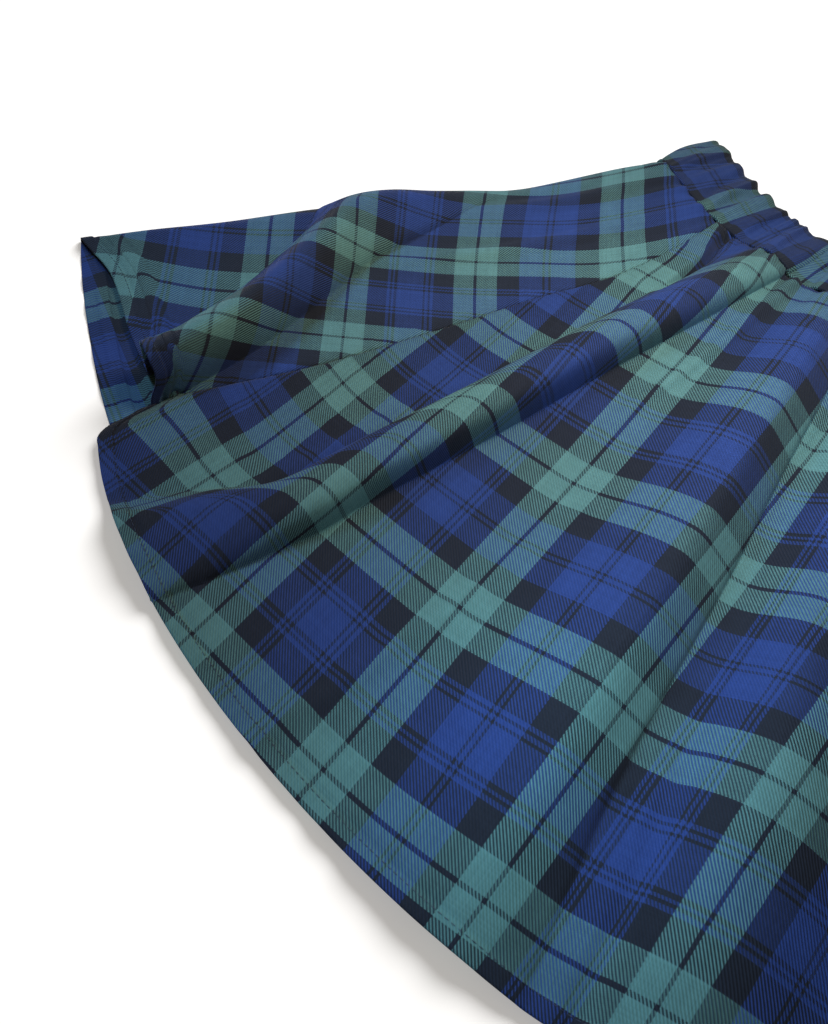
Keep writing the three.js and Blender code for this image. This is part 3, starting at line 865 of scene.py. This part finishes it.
def sewn(name, ends, tree, thread):
    """One piece of stitches. The nodes are used up, so that a plain mesh is left."""
    corners = ends.reshape(-1, 3) / 1000
    mesh = bpy.data.meshes.new(name + " ends")
    mesh.from_pydata(corners.tolist(), [(k, k + 1) for k in range(0, len(corners), 2)], [])
    piece = bpy.data.objects.new(name, mesh)
    bpy.context.scene.collection.objects.link(piece)
    modifier = piece.modifiers.new("stitches", "NODES")
    modifier.node_group = tree
    sockets = {item.name: item.identifier for item in tree.interface.items_tree}
    modifier[sockets["Thread radius"]] = THREAD_RADIUS / 1000
    modifier[sockets["Unevenness"]] = STITCH_UNEVENNESS
    modifier[sockets["Thread"]] = thread
    scene_now = bpy.context.evaluated_depsgraph_get()
    plain = bpy.data.meshes.new_from_object(piece.evaluated_get(scene_now))
    piece.modifiers.clear()
    piece.data = plain
    return piece


def sewing_thread(name):
    """Navy polyester thread, with a slight gloss."""
    material = bpy.data.materials.new(name)
    material.use_nodes = True
    tree = material.node_tree
    tree.nodes.clear()
    thread = add_node(tree, "ShaderNodeBsdfPrincipled", {"Base Color": linear("#1b2438"), "Roughness": 0.5})
    add_node(tree, "ShaderNodeOutputMaterial", {"Surface": thread})
    return material


hem_ends = np.concatenate([stitches_along(line) for line in (front_hem, back_left_hem, back_right_hem)])
hem_stitches = sewn("hem_stitches", hem_ends, stitch_tree(), sewing_thread("navy sewing thread"))

# ---- what each piece stands for --------------------------------------------------------------------
for piece, node in ((front, "front_panel"), (back_left, "back_left_panel"), (back_right, "back_right_panel")):
    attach(piece, "root")
    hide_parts(node)
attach(band, "root")
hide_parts("waistband")
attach(hem_stitches, "root")

# ---- floor, light and camera ----------------------------------------------------------------------
FLOOR_REACH = 6.0  # metres from the middle to each side
floor_mesh = bpy.data.meshes.new("floor")
floor_corners = [(x * FLOOR_REACH, y * FLOOR_REACH, 0) for x, y in ((-1, -1), (1, -1), (1, 1), (-1, 1))]
floor_mesh.from_pydata(floor_corners, [], [(0, 1, 2, 3)])
floor_mesh.materials.append(plain_floor("white paper"))
floor = bpy.data.objects.new("floor", floor_mesh)
bpy.context.scene.collection.objects.link(floor)


def soft_light(name, place, target, size, watts, colour):
    """A square light that faces its target."""
    data = bpy.data.lights.new(name, "AREA")
    data.size = size
    data.energy = watts
    data.color = linear(colour)[:3]
    light = bpy.data.objects.new(name, data)
    light.location = place
    light.rotation_euler = (Vector(target) - Vector(place)).to_track_quat("-Z", "Y").to_euler()
    bpy.context.scene.collection.objects.link(light)
    return light


def lights_only(light, pieces):
    """Keeps a light to some objects, so that it brightens no others."""
    receivers = bpy.data.collections.new("lit by the " + light.name)
    for piece in pieces:
        receivers.objects.link(piece)
    light.light_linking.receiver_collection = receivers


skirt = (front, back_left, back_right, band, hem_stitches)
all_but_back_left = (front, back_right, band, hem_stitches)
# Each lamp as [name, place, target, size, watts, colour, what it lights], in metres.
LAMPS = [
    ["lamp above the left half", (-0.09, 0.06, 0.3), (-0.09, 0.04, 0), 0.14, 1.02, "#fff1de", skirt],
    ["cool lamp by the waist", (0.0, 0.1, 0.2), (-0.03, 0.1, 0), 0.1, 0.22, "#b4dcff", skirt],
    ["cool lamp for the right", (-0.02, -0.16, 0.15), (0.12, -0.12, 0.02), 0.08, 0.22, "#a4dcff", skirt],
    ["cool lamp before the ridges", (0.06, -0.02, 0.24), (-0.04, 0.07, 0.02), 0.08, 0.16, "#9cc4ff", [front]],
    ["cool window on the left", (-2.6, -2.2, 2.0), (0, 0, 0), 0.8, 95, "#9ccaff", all_but_back_left],
    ["cool window beyond the left fold", (-2.6, 0.8, 2.6), (0, 0, 0), 0.8, 125, "#9ccaff", [back_left]],
]
for name, place, target, size, watts, colour, pieces in LAMPS:
    lights_only(soft_light(name, place, target, size, watts, colour), pieces)

# The paper has a broad light of its own, from beyond the waist, for the soft shadow below the hem.
paper_light = bpy.data.lights.new("broad light on the paper", "SUN")
paper_light.energy = 3.9
paper_light.angle = 0.7
broad = bpy.data.objects.new("broad light on the paper", paper_light)
broad.rotation_euler = Vector((0.1, 1.0, 0.7)).to_track_quat("Z", "Y").to_euler()
bpy.context.scene.collection.objects.link(broad)
lights_only(broad, [floor])

# Beyond the floor the camera sees white, while the cloth gets a faint warm light from all round.
world = bpy.data.worlds.new("studio")
world.use_nodes = True
world.node_tree.nodes.clear()
glow = add_node(world.node_tree, "ShaderNodeBackground", {"Color": linear("#ffecd2"), "Strength": 0.14})
white = add_node(world.node_tree, "ShaderNodeBackground", {"Color": linear("#ffffff"), "Strength": 1.0})
seen = add_node(world.node_tree, "ShaderNodeLightPath", out="Is Camera Ray")
surround = add_node(world.node_tree, "ShaderNodeMixShader", {0: seen, 1: glow, 2: white})
add_node(world.node_tree, "ShaderNodeOutputWorld", {"Surface": surround})
bpy.context.scene.world = world
bpy.context.scene.view_settings.view_transform = "Standard"

camera_data = bpy.data.cameras.new("camera")
camera_data.sensor_width = 36.0
camera_data.lens = 38.67  # a view of 50 degrees along the longer side
camera = bpy.data.objects.new("camera", camera_data)
camera.location = (0.0816, -0.3124, 0.3939)
aim = Vector((-0.0935, -0.1011, 0.0298))
camera.rotation_euler = (aim - camera.location).to_track_quat("-Z", "Y").to_euler()
camera_data.clip_start = 0.01
bpy.context.scene.collection.objects.link(camera)
bpy.context.scene.camera = camera
